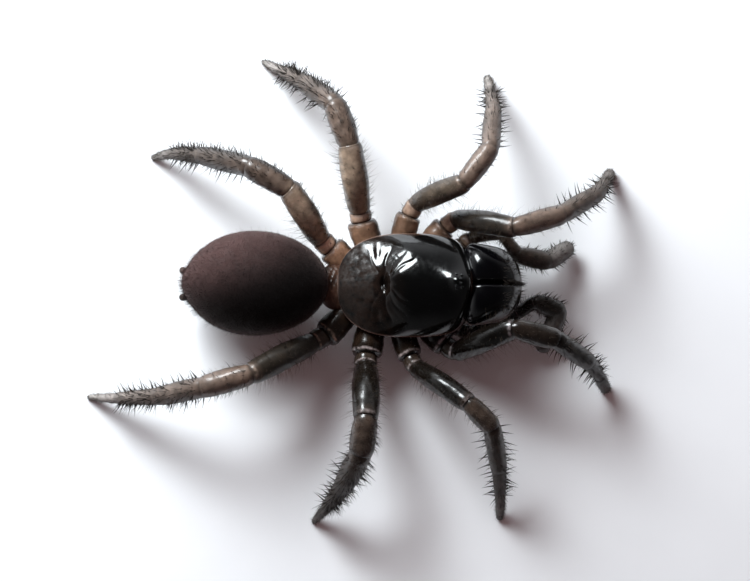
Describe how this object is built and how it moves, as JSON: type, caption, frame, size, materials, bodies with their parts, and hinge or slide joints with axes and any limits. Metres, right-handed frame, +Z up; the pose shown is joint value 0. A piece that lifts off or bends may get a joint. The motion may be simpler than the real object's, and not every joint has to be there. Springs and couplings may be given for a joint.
{
  "type": "folding-door spider specimen",
  "caption": "Dry folding-door spider set out on its leg tips, with a glossy dark head shield and jaws, a velvety brown abdomen and spiny jointed legs.",
  "frame": {"origin": "on the surface it stands on, under the middle of its footprint", "axes": "+X towards the head, +Y towards its left side, +Z up"},
  "size_m": [0.0275, 0.0243, 0.0053],
  "materials": {
    "shield": "glossy dark chitin",
    "belly": "satin brown chitin",
    "velvet": "short velvety hair",
    "jaw": "mirror-glossy black chitin",
    "leg": "satin olive-brown chitin"
  },
  "bodies": {
    "root": {"carapace": "shield", "sternum": "belly", "pedicel": "belly", "abdomen": "velvet", "chelicera_left": "jaw", "fang_left": "jaw", "spinneret_left": "velvet", "chelicera_right": "jaw", "fang_right": "jaw", "spinneret_right": "velvet", "leg_1_left": "leg", "leg_2_left": "leg", "leg_3_left": "leg", "leg_4_left": "leg", "leg_1_right": "leg", "leg_2_right": "leg", "leg_3_right": "leg", "leg_4_right": "leg", "pedipalp_left": "leg", "pedipalp_right": "leg"}
  },
  "joints": []
}
